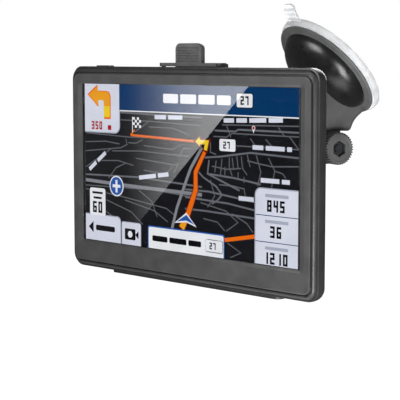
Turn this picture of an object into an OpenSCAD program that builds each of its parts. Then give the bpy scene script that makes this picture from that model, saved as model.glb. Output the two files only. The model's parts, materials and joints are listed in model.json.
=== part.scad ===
// Portable satellite navigator in its snap-in cradle, on a suction mount for a windscreen.
// X runs to the user's right, Y away from the user, Z up. The origin is the centre of the
// suction pad's glass face. The case is drawn about the middle of its screen and the mount
// about its tilt axis, and both are then moved to the common origin.

/* [Screen] */
// Width of the lit area of the screen
screen_w = 154.08; // [153:0.1:155]
// Height of the lit area of the screen
screen_h = 85.92; // [85:0.1:87]

/* [Case] */
// Width of the case
case_w = 176.8; // [176:0.2:180]
// Height of the case
case_h = 110.9; // [110.4:0.1:112]
// Distance of the case's middle below the screen's middle
case_drop = 3.05; // [2.8:0.05:3.3]
// Distance from the lit screen back to the case's rear face
case_back = 10.3; // [10.2:0.1:12]
// Distance from the lit screen forward to the bezel's flat front
bezel_front = 1.64; // [1.5:0.02:2]
// Wall of the case
case_wall = 1.6; // [1.4:0.1:1.8]

/* [Cradle] */
// Width of the cradle's lower lip
lip_w = 122; // [100:1:130]
// Width of the top latch
latch_w = 43.8; // [42:0.2:46]
// Width of the latch's ribbed release tab
tab_w = 18.4; // [18:0.2:20]
// Height of the release tab above the latch
tab_h = 10; // [8:0.1:12]

/* [Mount] */
// Angle that the mount's arm is swung to the right of straight back
swing = 18; // [0:1:30]
// Length of the link from the swivel pin to the tilt bolt
link_len = 65.3; // [60:0.1:80]
// Elevation of the direction in which the pad faces
cup_rise = 42.6; // [40:0.1:45]
// Height of the pad's middle above the tilt bolt
cup_up = 41.4; // [41:0.1:43]
// Distance of the pad's middle behind the tilt bolt
cup_back = 1.8; // [1:0.1:3]
// Radius of the dark flange over the pad
flange_r = 31.6; // [31:0.1:33]
// Radius of the clear suction pad
pad_r = 33.3; // [33:0.1:35]
// Distance from the flange's front face to the glass
pad_drop = 5.2; // [5:0.1:6]
// Width of the pad's pull tab
pull_w = 11; // [9:0.5:13]
// Length of the pull tab beyond the pad's edge
pull_len = 9; // [7:0.5:12]
// Radius of the clamping knob
knob_r = 8.8; // [8.6:0.1:9.2]

/* [Hidden] */
$fn = 64;
soft_fn = 32;
cut = 0.5;
gap = 0.3;
run_fit = 0.05;

// Case outline, from the screen's middle
case_top = case_h / 2 - case_drop;
case_bottom = -case_h / 2 - case_drop;
case_r = 6.5;
frame_back = 0.9;
frame_inset = 1;
plate_inset = 3.2;
plate_edge = 4;
window_w = screen_w + 3.1;
window_h = screen_h + 0.7;
bevel_x = 2.9;
bevel_z = 1.25;
lip_y = -0.8;
pocket_w = 162.4;
pocket_h = 94;
pocket_z = -1.5;
glass_front = -0.66;
lcd_back = 2.2;
tray_back = 3.1;
board_y = 3.9;
board_t = 1;
post_x = 83;
post_up = case_top - 5.2;
post_down = case_bottom + 5.2;
post_back = 6;
screw_seat = 7.25;
inner_back = case_back - case_wall;
button_x = -65.5;
button_y = 4.6;
button_len = 12.8;
button_wide = 3;
jack_y = 5.6;
jack_z = -28;
jack_r = 1.8;
jack_len = 12;
usb_z = -8;
card_y = 5.5;
card_z = 22;
mic_x = -84.4;
mic_z = 24;
mic_hole_r = 0.35;
skirt_back = 2;
boss_r = 2.3;
boss_hole_r = 1;
screw_hole_r = 1.1;
screw_well_r = 2.15;
foot_x = 30;
foot_half = 4;

// Inner parts, from the screen's middle
board_x0 = -18;
board_x1 = 76;
board_half_h = 44;
strip_x0 = -76;
strip_x1 = -16;
strip_z = 38;
chip_x = 26;
chip_pitch = 7;
chip_w = 4;
chip_back = board_y + 2.2;
can_x0 = -14;
can_x1 = 18;
can_z0 = -30;
can_z1 = 6;
can_wall = 0.4;
can_back = board_y + 3.2;
cell_x0 = -69;
cell_x1 = -22;
cell_z0 = -24;
cell_z1 = 36;
cell_back = 8.2;
patch_x = 45;
patch_z = 31;
patch_half = 9;
patch_back = 8.3;
speaker_x = -50;
speaker_z = -40;
speaker_r = 10.5;
speaker_back = 8.2;
grille_half = 8;
grille_pitch = 2.4;
ribbon_x0 = 20;
ribbon_x1 = 44;
ribbon_z0 = -43;

// Cradle, from the screen's middle
cradle_y = case_back + gap;
cradle_t = 2.8;
lip_t = 1.6;
lip_front = 4;
latch_front = 3;
latch_t = 1.8;
latch_back = 9.2;
web_back = 13.8;
latch_axis_y = 12.6;
latch_axis_z = 45;
latch_pin_r = 0.8;
latch_pin_half = 24;
barrel_r = 1.7;
barrel_half = 20.2;
web_half = 18;
hook_x = 20.4;
hook_half = 0.7;
hook_drop = 1.1;
tab_t = 2.8;
tab_r = 3.2;
groove_half = 7.6;
groove_pitch = 1.36;
groove_w = 0.75;
fix_x = 14;
fix_z = 10;
fix_r = 1.2;
fix_hole_r = 1.25;
fix_head_r = 2.4;
cradle_w = 104;
cradle_h = 88;
window_x = 36;
bracket_y = cradle_y + cradle_t;
bracket_t = 2.6;

// Mount: the link's height above the screen's middle, and the hinge stack along its bolt
link_z = 8.6;
swivel_y = 24;
swivel_r = 6.5;
swivel_pin_r = 2;
link_half = 8.6;
ear_t = 3.5;
knuckle_half = 6;
knuckle_r = 8.2;
fork_root = 20;
fork_neck = 12;
bolt_head_af = 7;
cheek_in = knuckle_half + gap;
cheek_out = 10.5;
bolt_r = 2;
washer_t = 0.8;
knob_in = cheek_out + washer_t + 0.1;
knob_out = 18.2;
hex_af = 7.6;
hex_deep = 4.6;
flange_t = 1.6;
dome_r = 26.5;
dome_h = 13;
dome_wall = 2.2;
lever_drop = 12.5;
lever_half = 8;
lever_len = 18.5;
lever_room = 5;
lever_pin_r = 1.25;
lever_hub_r = 3.6;
plunge = 1.8;
stem_r = 3;
hub_r = 4.4;
head_r = 12.8;
pad_hollow_r = 13.4;
cup_screw_r = 1.2;
cup_screw_hole_r = 1.3;
cup_head_r = 2.2;
plunger_head = flange_t + 0.1;
face = [link_len * sin(swing) + (cup_back + pad_drop * cos(cup_rise)) * sin(swing),
        swivel_y + (link_len + cup_back + pad_drop * cos(cup_rise)) * cos(swing),
        link_z + cup_up + pad_drop * sin(cup_rise)];

// Places: the case's frame, the mount's frame at its tilt axis, and the cup's frame
module at_case() {
    translate(-face) children();
}
module at_hinge() {
    at_case() translate([0, swivel_y, link_z]) rotate([0, 0, -swing])
        translate([0, link_len, 0]) children();
}
module at_cup() {
    at_hinge() translate([0, cup_back, cup_up]) rotate([cup_rise - 90, 0, 0]) children();
}

// Basic shapes
module rounded(w, h, r) {
    square([w - 2 * r, h], center = true);
    square([w, h - 2 * r], center = true);
    for (x = [-1, 1], y = [-1, 1]) {
        translate([x * (w / 2 - r), y * (h / 2 - r)]) circle(r = r);
    }
}
// An upright outline in X and Z, from y0 back to y1
module slab(y0, y1) {
    translate([0, y1, 0]) rotate([90, 0, 0]) linear_extrude(y1 - y0) children();
}
module plate(w, h, r, y0, y1, z = 0, x = 0) {
    translate([x, 0, z]) slab(y0, y1) rounded(w, h, r);
}
module box(x0, x1, y0, y1, z0, z1) {
    translate([x0, y0, z0]) cube([x1 - x0, y1 - y0, z1 - z0]);
}
module rod_x(r, x0, x1) {
    translate([x0, 0, 0]) rotate([0, 90, 0]) cylinder(r = r, h = x1 - x0);
}
module rod_y(r, y0, y1) {
    translate([0, y1, 0]) rotate([90, 0, 0]) cylinder(r = r, h = y1 - y0);
}
module rod_z(r, z0, z1) {
    translate([0, 0, z0]) cylinder(r = r, h = z1 - z0);
}
// The four screws that hold the bracket to the cradle
module fix_spots() {
    for (x = [-fix_x, fix_x], z = [-fix_z, fix_z]) translate([x, 0, z]) children();
}
// A six-sided bar by its width across flats
module six_sided(flats, h) {
    cylinder(r = flats / 2 / cos(30), h = h, $fn = 6);
}
module posts() {
    for (x = [-post_x, post_x], z = [post_up, post_down]) translate([x, 0, z]) children();
}
// A tray with round corners and a round back edge
module tray(inset, y0, y1, r) {
    w = case_w / 2 - inset - r;
    h = case_h / 2 - inset - r;
    hull() {
        for (x = [-w, w], z = [-h, h]) translate([x, 0, z - case_drop]) {
            translate([0, y1 - r, 0]) sphere(r = r, $fn = soft_fn);
            rotate([-90, 0, 0]) translate([0, 0, y0]) cylinder(r = r, h = y1 - r - y0, $fn = soft_fn);
        }
    }
}

// The navigator
module front_frame() color([0.27, 0.27, 0.27]) {
    w = case_w - 2 * frame_inset;
    h = case_h - 2 * frame_inset;
    difference() {
        union() {
            plate(w - 2 * plate_inset + 1, h - 2 * plate_edge + 2, 4.2, -bezel_front, frame_back, -case_drop);
            plate(w, h, 5.5, -bezel_front + 0.7, frame_back, -case_drop);
            plate(w - 1.9, h - 1.9, 4.6, frame_back - cut, skirt_back, -case_drop);
        }
        plate(window_w, window_h, 1.2, -bezel_front - cut, 1);
        hull() {
            plate(window_w + 2 * bevel_x, window_h + 2 * bevel_z, 2.4, -bezel_front - 0.01, -bezel_front);
            plate(window_w, window_h, 1.2, lip_y, lip_y + 0.02);
        }
        plate(pocket_w, pocket_h, 2.4, glass_front - 0.04, skirt_back + cut, pocket_z);
        plate(w - 5, h - 5, 3.2, frame_back, skirt_back + cut, -case_drop);
        for (z = [-1.1, 1.1]) translate([mic_x, 0, mic_z + z]) rod_y(mic_hole_r, -bezel_front - cut, 0);
        translate([mic_x, 0, mic_z]) rod_y(1.6, -0.5, skirt_back + cut);
    }
    posts() difference() {
        rod_y(boss_r, frame_back - cut, post_back);
        rod_y(boss_hole_r, skirt_back, post_back + cut);
    }
}
module touch_glass() color([0.12, 0.12, 0.13, 0.5])
    plate(pocket_w - 0.4, pocket_h - 0.4, 2.2, glass_front, -0.06, pocket_z);
module lcd_panel() color([0.1, 0.2, 0.35])
    plate(pocket_w - 1.8, pocket_h - 1.8, 1, -0.03, lcd_back, pocket_z);
module backlight_tray() color([0.75, 0.76, 0.78]) difference() {
    plate(pocket_w - 0.5, pocket_h - 0.5, 1.6, 0.3, tray_back, pocket_z);
    plate(pocket_w - 1.6, pocket_h - 1.6, 1.1, 0, lcd_back + 0.05, pocket_z);
}
module main_board() color([0.08, 0.33, 0.2]) {
    slab(board_y, board_y + board_t) difference() {
        union() {
            translate([board_x0, -board_half_h]) square([board_x1 - board_x0, 2 * board_half_h]);
            translate([strip_x0, strip_z]) square([strip_x1 - strip_x0, board_half_h - strip_z]);
        }
        translate([50, -30]) circle(r = 1.6);
    }
    for (i = [0:5]) translate([chip_x + chip_pitch * i, 0, 0])
        box(0, chip_w, board_y + board_t, chip_back, -22, -12);
    box(24, 38, board_y + board_t, board_y + 2.4, 4, 18);
}
module shield_can() color([0.78, 0.79, 0.8]) difference() {
    box(can_x0, can_x1, board_y + board_t, can_back, can_z0, can_z1);
    box(can_x0 + can_wall, can_x1 - can_wall, board_y, can_back - can_wall,
        can_z0 + can_wall, can_z1 - can_wall);
}
module battery() color([0.55, 0.57, 0.62]) {
    box(cell_x0, cell_x1, board_y, cell_back, cell_z0, cell_z1);
    // Lead cap on the cell's upper end
    box(-52, -38, board_y + 0.5, cell_back - 0.6, cell_z1, cell_z1 + 1.4);
}
module gps_antenna() color([0.8, 0.74, 0.6]) difference() {
    translate([patch_x, 0, patch_z])
        box(-patch_half, patch_half, board_y + board_t, patch_back, -patch_half, patch_half);
    translate([patch_x, 0, patch_z]) rod_y(0.8, patch_back - 0.9, patch_back + cut);
}
module speaker() color([0.2, 0.2, 0.2]) translate([speaker_x, 0, speaker_z]) {
    rod_y(speaker_r, 4.6, 6.4);
    // Magnet in front, rim and cone behind
    rod_y(6, 3.9, 4.7);
    difference() {
        rod_y(speaker_r, 6.3, speaker_back);
        rod_y(speaker_r - 1.5, 6.3, speaker_back + cut);
    }
    rod_y(4, 6.3, 7.6);
}
module ribbon_cable() color([0.85, 0.55, 0.15]) {
    box(ribbon_x0, ribbon_x1, tray_back + 0.05, tray_back + 0.2, ribbon_z0, ribbon_z0 + 7);
    box(ribbon_x0 + 2, ribbon_x1 - 2, tray_back + 0.2, board_y - 0.02, ribbon_z0, ribbon_z0 + 3);
}
module back_shell() color([0.2, 0.2, 0.2]) difference() {
    tray(0, frame_back, case_back, case_r);
    box(-case_w, case_w, -case_r, frame_back + 0.05, -case_h, case_h);
    difference() {
        tray(case_wall, frame_back - cut, inner_back, case_r - case_wall);
        posts() rod_y(3.2, post_back + 0.05, case_back);
    }
    posts() rod_y(screw_hole_r, 0, case_back + cut);
    posts() rod_y(screw_well_r, screw_seat, case_back + cut);
    // Power key, hook slots, sockets, card slot, vents and the grille
    translate([button_x, button_y, case_top - 5]) linear_extrude(6)
        rounded(button_len + 0.4, button_wide + 0.4, button_wide / 2 + 0.19);
    for (x = [-hook_x, hook_x]) box(x - 1, x + 1, 3.8, 8.2, case_top - 1.1, case_top + cut);
    for (x = [-foot_x, foot_x]) translate([x, 0, case_bottom])
        box(-foot_half - 0.4, foot_half + 0.4, 4, 6, -cut, 1.2);
    translate([0, jack_y, jack_z]) rod_x(2.6, -case_w / 2 - cut, -case_w / 2 + 5);
    box(-case_w / 2 - cut, -case_w / 2 + 3, 3.7, 7.3, usb_z - 4.1, usb_z + 4.1);
    box(-case_w / 2 - cut, -case_w / 2 + 3, card_y - 0.8, card_y + 0.8, card_z - 6, card_z + 6);
    for (i = [-3:3]) translate([speaker_x, 0, speaker_z + grille_pitch * i])
        box(-grille_half, grille_half, inner_back - cut, case_back + cut, -0.5, 0.5);
}
module case_screws() color([0.5, 0.5, 0.52]) posts() difference() {
    union() {
        rod_y(0.95, 3, screw_seat + cut);
        rod_y(1.9, screw_seat + 0.05, screw_seat + 1.1);
    }
    translate([0, screw_seat + 0.5, 0]) rotate([-90, 0, 0]) cylinder(r = 0.9, h = 1, $fn = 6);
}
module usb_socket() color([0.75, 0.75, 0.77]) translate([0, 0, usb_z]) {
    x0 = -case_w / 2 + 0.9;
    difference() {
        box(x0, x0 + 9, 4, 7, -3.8, 3.8);
        box(x0 - cut, x0 + 7.8, 4.4, 6.6, -3.4, 3.4);
    }
    box(x0 + 1.2, x0 + 8, 5.2, 5.8, -2.4, 2.4);
}
module audio_jack() color([0.1, 0.1, 0.1]) translate([0, jack_y, jack_z]) difference() {
    union() {
        rod_x(2.4, -case_w / 2 + 0.2, -case_w / 2 + 4.7);
        box(-case_w / 2 + 4.6, -case_w / 2 + jack_len + 1.5, -2.4, 2.5, -3.2, 3.2);
    }
    rod_x(jack_r, -case_w / 2 - cut, -case_w / 2 + 0.2 + jack_len);
}
module card_holder() color([0.7, 0.71, 0.73]) difference() {
    box(-case_w / 2 + 2.7, -case_w / 2 + 18.6, card_y - 1.1, card_y + 1.1, card_z - 6.4, card_z + 6.4);
    box(-case_w / 2 - cut, -case_w / 2 + 18, card_y - 0.7, card_y + 0.7, card_z - 5.8, card_z + 5.8);
}
module memory_card() color([0.07, 0.07, 0.08]) {
    x0 = -case_w / 2 + 0.3;
    difference() {
        box(x0, x0 + 15, card_y - 0.4, card_y + 0.4, card_z - 5.5, card_z + 5.5);
        box(x0 + 13, x0 + 16, card_y - 1, card_y + 1, card_z + 4.3, card_z + 6);
    }
}
module power_button() color([0.3, 0.3, 0.3]) translate([button_x, button_y, 0]) {
    translate([0, 0, case_top - 2.9]) linear_extrude(3.45)
        rounded(button_len, button_wide, button_wide / 2 - 0.01);
    translate([0, 0, case_top - 3.6]) linear_extrude(0.8) rounded(button_len + 1.6, button_wide + 1.2, 1);
}
module power_switch() color([0.8, 0.8, 0.8]) {
    box(button_x - 3, button_x + 3, 3.6, 5.6, 44.05, case_top - 5.3);
    translate([button_x, button_y, 0]) rod_z(0.8, case_top - 5.4, case_top - 4.2);
}
module microphone() color([0.7, 0.65, 0.4]) translate([mic_x, 0, mic_z]) rod_y(1.5, -0.3, 0.8);

// The cradle
module cradle_plate() color([0.17, 0.17, 0.17]) difference() {
    union() {
        plate(cradle_w, cradle_h, 8, cradle_y, cradle_y + cradle_t, -2);
        box(-40, 40, cradle_y, cradle_y + cradle_t, case_bottom - gap - lip_t, -40);
        translate([0, (lip_front + cradle_y + cradle_t) / 2, case_bottom - gap - lip_t])
            linear_extrude(lip_t) rounded(lip_w, cradle_y + cradle_t - lip_front, 3);
        for (x = [-foot_x, foot_x]) translate([x, 0, case_bottom])
            box(-foot_half, foot_half, 4.4, 5.6, -gap - cut, 0.8);
        for (x = [-1, 1]) translate([x * 22.4, 0, 0]) {
            box(-1.7, 1.7, cradle_y, cradle_y + 4, 38, latch_axis_z + 2);
        }
    }
    box(-20.6, 20.6, cradle_y - cut, cradle_y + 5, 39, 60);
    translate([0, latch_axis_y, latch_axis_z]) rod_x(latch_pin_r + run_fit, -30, 30);
    translate([0, 0, link_z]) fix_spots() {
        rod_y(fix_hole_r, cradle_y - cut, 20);
        rod_y(fix_head_r + 0.1, cradle_y - cut, cradle_y + 1.2);
    }
    for (x = [-window_x, window_x]) plate(16, 46, 5, cradle_y - cut, 20, -6, x);
}
module latch() color([0.15, 0.15, 0.15]) {
    z0 = case_top + gap;
    z1 = z0 + latch_t;
    difference() {
        union() {
            // Bridge over the case, with its two hooks
            translate([0, (latch_front + latch_back) / 2, z0]) linear_extrude(latch_t)
                rounded(latch_w, latch_back - latch_front, 1.6);
            box(-web_half, web_half, latch_back - 1.5, web_back, z0, z1 - 0.5);
            for (x = [-hook_x, hook_x]) box(x - hook_half, x + hook_half, 4.4, 6.4, z0 - hook_drop, z0 + cut);
            // Web down to the hinge barrel
            box(-web_half, web_half, web_back - 2.4, web_back, latch_axis_z, z0 + cut);
            translate([0, latch_axis_y, latch_axis_z]) rod_x(barrel_r, -barrel_half, barrel_half);
            // Release tab
            translate([0, 0, z1 + tab_h / 2]) slab(latch_front, latch_front + tab_t)
                rounded(tab_w, tab_h, tab_r);
            box(-tab_w / 2, tab_w / 2, latch_front, latch_front + tab_t, z0, z1 + 4);
        }
        for (i = [0:5]) translate([0, latch_front, z1 + 0.4 + groove_pitch * i])
            box(-groove_half, groove_half, -cut, 0.5, 0, groove_w);
        for (x = [-hook_x, hook_x]) box(x - hook_half / 2, x + hook_half / 2, 2.5, 3.6, z0 - cut, z1 + cut);
        translate([0, latch_axis_y, latch_axis_z]) rod_x(latch_pin_r + run_fit, -30, 30);
    }
}
module latch_pin() color([0.75, 0.75, 0.77])
    translate([0, latch_axis_y, latch_axis_z]) rod_x(latch_pin_r, -latch_pin_half, latch_pin_half);
module cradle_screws() color([0.6, 0.6, 0.62]) translate([0, 0, link_z]) fix_spots() difference() {
    union() {
        rod_y(fix_r, cradle_y + 0.2, bracket_y + bracket_t - 0.2);
        rod_y(fix_head_r, cradle_y + 0.1, cradle_y + 1.15);
    }
    translate([0, cradle_y, 0]) rotate([-90, 0, 0]) cylinder(r = 1.2, h = 0.9, $fn = 6);
}
module swivel_bracket() color([0.16, 0.16, 0.16]) translate([0, 0, link_z]) difference() {
    union() {
        plate(38, 32, 4, bracket_y + 0.02, bracket_y + bracket_t);
        for (z = [-1, 1]) {
            z0 = z > 0 ? link_half + gap : -link_half - gap - ear_t;
            box(-swivel_r, swivel_r, bracket_y + 1, swivel_y, z0, z0 + ear_t);
            translate([0, swivel_y, 0]) rod_z(swivel_r, z0, z0 + ear_t);
        }
    }
    translate([0, swivel_y, 0]) rod_z(swivel_pin_r + run_fit, -20, 20);
    fix_spots() rod_y(fix_hole_r, cradle_y - cut, bracket_y + bracket_t + cut);
}
module swivel_pin() color([0.7, 0.7, 0.72]) translate([0, swivel_y, link_z]) {
    rod_z(swivel_pin_r, -link_half - gap - ear_t, link_half + gap + ear_t);
    rod_z(3.2, link_half + gap + ear_t, link_half + gap + ear_t + 1.2);
}

// The link and its clamping hinge, drawn about the tilt axis
module link_arm() color([0.14, 0.14, 0.14]) difference() {
    union() {
        translate([0, -link_len, 0]) rod_z(swivel_r, -link_half, link_half);
        box(-5, 5, -link_len, -fork_neck, -link_half, link_half);
        box(-cheek_out, cheek_out, -fork_root, -fork_neck + 1, -link_half, link_half);
        for (x = [-cheek_out, cheek_in]) {
            rod_x(link_half, x, x + cheek_out - cheek_in);
            box(x, x + cheek_out - cheek_in, -fork_neck, 0, -link_half, link_half);
        }
    }
    translate([0, -link_len, 0]) rod_z(swivel_pin_r + run_fit, -20, 20);
    rod_x(bolt_r + run_fit, -20, 20);
    rotate([0, -90, 0]) translate([0, 0, cheek_out - 1.6]) six_sided(bolt_head_af + 0.2, 3);
    for (x = [-1, 1]) box(x * 5 - 1.6, x * 5 + 1.6, -link_len + 9, -24, -5.4, 5.4);
}
module hinge_bolt() color([0.72, 0.72, 0.74]) {
    rod_x(bolt_r, -cheek_out, knob_out - 1.6);
    rotate([0, -90, 0]) translate([0, 0, cheek_out - 1.5]) six_sided(bolt_head_af, 2.8);
}
module hinge_washer() color([0.75, 0.75, 0.77]) difference() {
    rod_x(5, cheek_out + 0.02, cheek_out + washer_t);
    rod_x(bolt_r + run_fit, 0, 20);
}
module knob() color([0.4, 0.4, 0.4]) difference() {
    rod_x(knob_r, knob_in, knob_out);
    rod_x(bolt_r + run_fit, 0, 20);
    translate([knob_out - hex_deep, 0, 0]) rotate([0, 90, 0]) six_sided(hex_af, hex_deep + cut);
    for (a = [0:10:350]) rotate([a, 0, 0]) translate([0, 0, knob_r + 0.25])
        rod_x(0.55, knob_in - cut, knob_out + cut);
}
module knob_nut() color([0.72, 0.72, 0.74]) difference() {
    translate([knob_out - hex_deep + 0.02, 0, 0]) rotate([0, 90, 0]) six_sided(hex_af - 0.2, 2.4);
    rod_x(bolt_r + run_fit, 0, 20);
}

// The mount's arm, with the tilt knuckle below and the lever's ears in front
function lever_y() = cup_back - lever_drop * cos(cup_rise);
function lever_z() = cup_up - lever_drop * sin(cup_rise);
module arm_side() {
    polygon([[-5.5, 9.3], [-8.2, 10.1], [-9.4, 24],
             [lever_y() - 3.4, lever_z()], [lever_y() - 2, lever_z() + 3], [cup_back, cup_up - 1],
             [23, 21.4], [18.6, 17.4], [15.2, 14.4], [12.6, 8.7]]);
}
module arm_blank() {
    rotate([90, 0, 90]) translate([0, 0, -cheek_out]) linear_extrude(2 * cheek_out) arm_side();
}
// Half of the dome's section, from its rim to its crown
dome_steps = 12;
function dome_arc(r, h, lift) = [for (i = [0:dome_steps])
    let (a = 90 * i / dome_steps)
    i == dome_steps ? [0, -h] : [r * cos(a), -lift - (h - lift) * sin(a)]];
// The dome's outer surface, grown by a margin
module dome_solid(grow) {
    rotate_extrude($fn = 96)
        polygon(concat([[0, 4], [dome_r + grow, 4]], dome_arc(dome_r + grow, dome_h + grow, 0)));
}
module mount_arm() color([0.42, 0.42, 0.42]) at_hinge() difference() {
    union() {
        arm_blank();
        rod_x(knuckle_r, -knuckle_half, knuckle_half);
        box(-knuckle_half, knuckle_half, -6.6, knuckle_r, 0, 12);
    }
    translate([0, cup_back, cup_up]) rotate([cup_rise - 90, 0, 0]) {
        dome_solid(0.05);
        translate([0, 0, -0.05]) rod_z(60, 0, 30);
        arm_screw_spots() rod_z(cup_screw_hole_r, -20, 3);
    }
    rod_x(bolt_r + run_fit, -20, 20);
    // Room for the lever, from its pin down the arm's front
    box(-lever_half - gap, lever_half + gap, -20, lever_y() + 2.8, 12, lever_z() + 1);
    translate([0, lever_y(), lever_z()]) rod_x(4.2, -lever_half - gap, lever_half + gap);
    translate([0, lever_y(), lever_z()]) rod_x(lever_pin_r + run_fit, -20, 20);
}
module cup_screw(depth) {
    rod_z(cup_screw_r, -depth, 1);
    rod_z(cup_head_r, 0.6, flange_t - 0.05);
}
module cup_screw_hole(depth) {
    rod_z(cup_screw_hole_r, -depth, 5);
    rod_z(cup_head_r + 0.15, 0.55, 5);
}
module arm_screw_spots() {
    for (x = [-6, 6]) translate([x, 15, 0]) children();
}
module flange_screw_spots() {
    for (a = [30, 150, 270]) rotate([0, 0, a]) translate([22.5, 0, 0]) children();
}
module arm_screws() color([0.6, 0.6, 0.62]) at_cup() arm_screw_spots() cup_screw(13.5);
module dome_cover() color([0.13, 0.13, 0.13]) at_cup() difference() {
    rotate_extrude($fn = 96) polygon(concat(dome_arc(dome_r, dome_h, 0.02),
        [for (i = [dome_steps:-1:0]) dome_arc(dome_r - dome_wall, dome_h - dome_wall, 0.02)[i]]));
    translate([0, 0, -lever_drop]) {
        rod_x(lever_room, -lever_half - gap, lever_half + gap);
        rod_x(lever_pin_r + run_fit, -15, 15);
    }
    arm_screw_spots() rod_z(cup_screw_hole_r, -20, 3);
    flange_screw_spots() rod_z(cup_screw_hole_r, -3.8, 3);
}
module flange() color([0.33, 0.33, 0.33]) at_cup() difference() {
    union() {
        rod_z(flange_r, 0, flange_t);
        rod_z(hub_r, -6, flange_t);
    }
    rod_z(stem_r + run_fit, -10, 5);
    arm_screw_spots() cup_screw_hole(5);
    flange_screw_spots() cup_screw_hole(5);
}
module flange_screws() color([0.6, 0.6, 0.62]) at_cup() flange_screw_spots() cup_screw(3.5);
module suction_pad() color([0.9, 0.91, 0.93, 0.6]) at_cup() difference() {
    union() {
        rod_z(pad_r, flange_t + 0.02, pad_drop);
        translate([-pull_w / 2, -pad_r - pull_len, pad_drop - 2]) cube([pull_w, pull_len + 3, 1.4]);
    }
    // Hollow that the plunger's head moves in
    rod_z(pad_hollow_r, 0, pad_drop - 0.7);
}
module plunger() color([0.6, 0.6, 0.62]) at_cup() {
    rod_z(stem_r, -7.4, plunger_head + 0.4);
    rod_z(head_r, plunger_head, pad_drop - 0.9 - plunge);
}
module lever() color([0.14, 0.14, 0.14]) at_hinge() translate([-lever_half, lever_y(), lever_z()])
    rotate([90, 0, 90]) linear_extrude(2 * lever_half) difference() {
        union() {
            circle(r = lever_hub_r);
            polygon([[-3.2, 0], [-2.6, -lever_len], [-0.2, -lever_len], [-0.2, 0]]);
            translate([-1.6, -lever_len]) circle(r = 1.6);
        }
        circle(r = lever_pin_r + run_fit);
    }
module lever_pin() color([0.72, 0.72, 0.74]) at_hinge()
    translate([0, lever_y(), lever_z()]) rod_x(lever_pin_r, -cheek_out + 0.1, cheek_out - 0.1);

at_case() front_frame();
at_case() touch_glass();
at_case() lcd_panel();
at_case() backlight_tray();
at_case() main_board();
at_case() shield_can();
at_case() battery();
at_case() gps_antenna();
at_case() speaker();
at_case() ribbon_cable();
at_case() back_shell();
at_case() case_screws();
at_case() usb_socket();
at_case() audio_jack();
at_case() card_holder();
at_case() memory_card();
at_case() power_button();
at_case() power_switch();
at_case() microphone();
at_case() cradle_plate();
at_case() latch();
at_case() latch_pin();
at_case() cradle_screws();
at_case() swivel_bracket();
at_case() swivel_pin();
at_hinge() link_arm();
at_hinge() hinge_bolt();
at_hinge() hinge_washer();
at_hinge() knob();
at_hinge() knob_nut();
mount_arm();
arm_screws();
dome_cover();
flange();
flange_screws();
suction_pad();
plunger();
lever();
lever_pin();
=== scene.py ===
"""Looks of the windscreen navigator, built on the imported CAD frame.

Shapes are written in millimetres in one of three local frames and moved to the shared frame:
CASE  - origin on the lit screen's centre, X right, Y back, Z up
HINGE - origin on the tilt bolt, X along the bolt, Y back along the mount's arm, Z up
CUP   - origin on the flange's front, X along the bolt, Z towards the glass
"""
import bpy
import bmesh
import json
import math
from mathutils import Matrix, Vector


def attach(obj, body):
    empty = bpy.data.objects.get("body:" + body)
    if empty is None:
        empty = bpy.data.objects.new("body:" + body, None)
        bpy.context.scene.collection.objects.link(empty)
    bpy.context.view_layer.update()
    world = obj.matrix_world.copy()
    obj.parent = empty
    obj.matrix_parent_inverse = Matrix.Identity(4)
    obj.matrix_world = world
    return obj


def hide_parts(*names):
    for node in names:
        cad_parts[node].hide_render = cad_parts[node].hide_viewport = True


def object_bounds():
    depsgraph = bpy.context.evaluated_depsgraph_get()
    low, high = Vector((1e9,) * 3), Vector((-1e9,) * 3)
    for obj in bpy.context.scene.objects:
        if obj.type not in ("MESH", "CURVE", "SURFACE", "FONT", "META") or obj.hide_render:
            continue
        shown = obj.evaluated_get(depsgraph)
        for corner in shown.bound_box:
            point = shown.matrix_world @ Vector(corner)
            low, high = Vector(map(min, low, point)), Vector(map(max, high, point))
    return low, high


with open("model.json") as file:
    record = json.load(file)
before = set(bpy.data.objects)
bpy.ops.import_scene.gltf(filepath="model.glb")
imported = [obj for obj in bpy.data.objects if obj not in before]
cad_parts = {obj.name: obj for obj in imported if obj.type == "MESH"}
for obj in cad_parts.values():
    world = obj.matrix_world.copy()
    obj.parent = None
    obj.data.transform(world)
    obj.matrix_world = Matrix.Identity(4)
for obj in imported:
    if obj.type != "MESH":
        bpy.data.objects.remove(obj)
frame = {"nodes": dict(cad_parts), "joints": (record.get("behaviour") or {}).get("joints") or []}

CAD_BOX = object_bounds()
NODES = frame["nodes"]
JOINTS = {joint["name"]: joint for joint in frame["joints"]}
MM = 0.001


# ---------------------------------------------------------------- frames
def axes_frame(x, y, z, origin):
    """A matrix from local millimetres to the shared frame's metres."""
    columns = Matrix((x, y, z)).transposed().to_4x4()
    return Matrix.Translation(origin) @ columns @ Matrix.Scale(MM, 4)


UP = Vector((0, 0, 1))
BOLT = Vector(JOINTS["tilt"]["axis"]).normalized()
REACH = UP.cross(BOLT).normalized()
TO_GLASS = Vector(JOINTS["plunger_slide"]["axis"]).normalized()
SWIVEL_IN_CASE = Vector((0, 24, 8.6))
FLANGE_IN_HINGE = Vector((0, 1.8, 41.4))

SCREEN_AT = Vector(JOINTS["swivel"]["pos_m"]) - SWIVEL_IN_CASE * MM
CASE = axes_frame(Vector((1, 0, 0)), Vector((0, 1, 0)), UP, SCREEN_AT)
HINGE = axes_frame(BOLT, REACH, UP, Vector(JOINTS["tilt"]["pos_m"]))
CUP = axes_frame(BOLT, TO_GLASS.cross(BOLT), TO_GLASS, HINGE @ FLANGE_IN_HINGE)

# Sizes in millimetres that several shapes share
LIT_X, LIT_Z = 77.04, 42.96  # half the lit picture
CASE_X, CASE_TOP, CASE_BOTTOM, CASE_BACK = 88.4, 52.4, -58.5, 10.3


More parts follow.
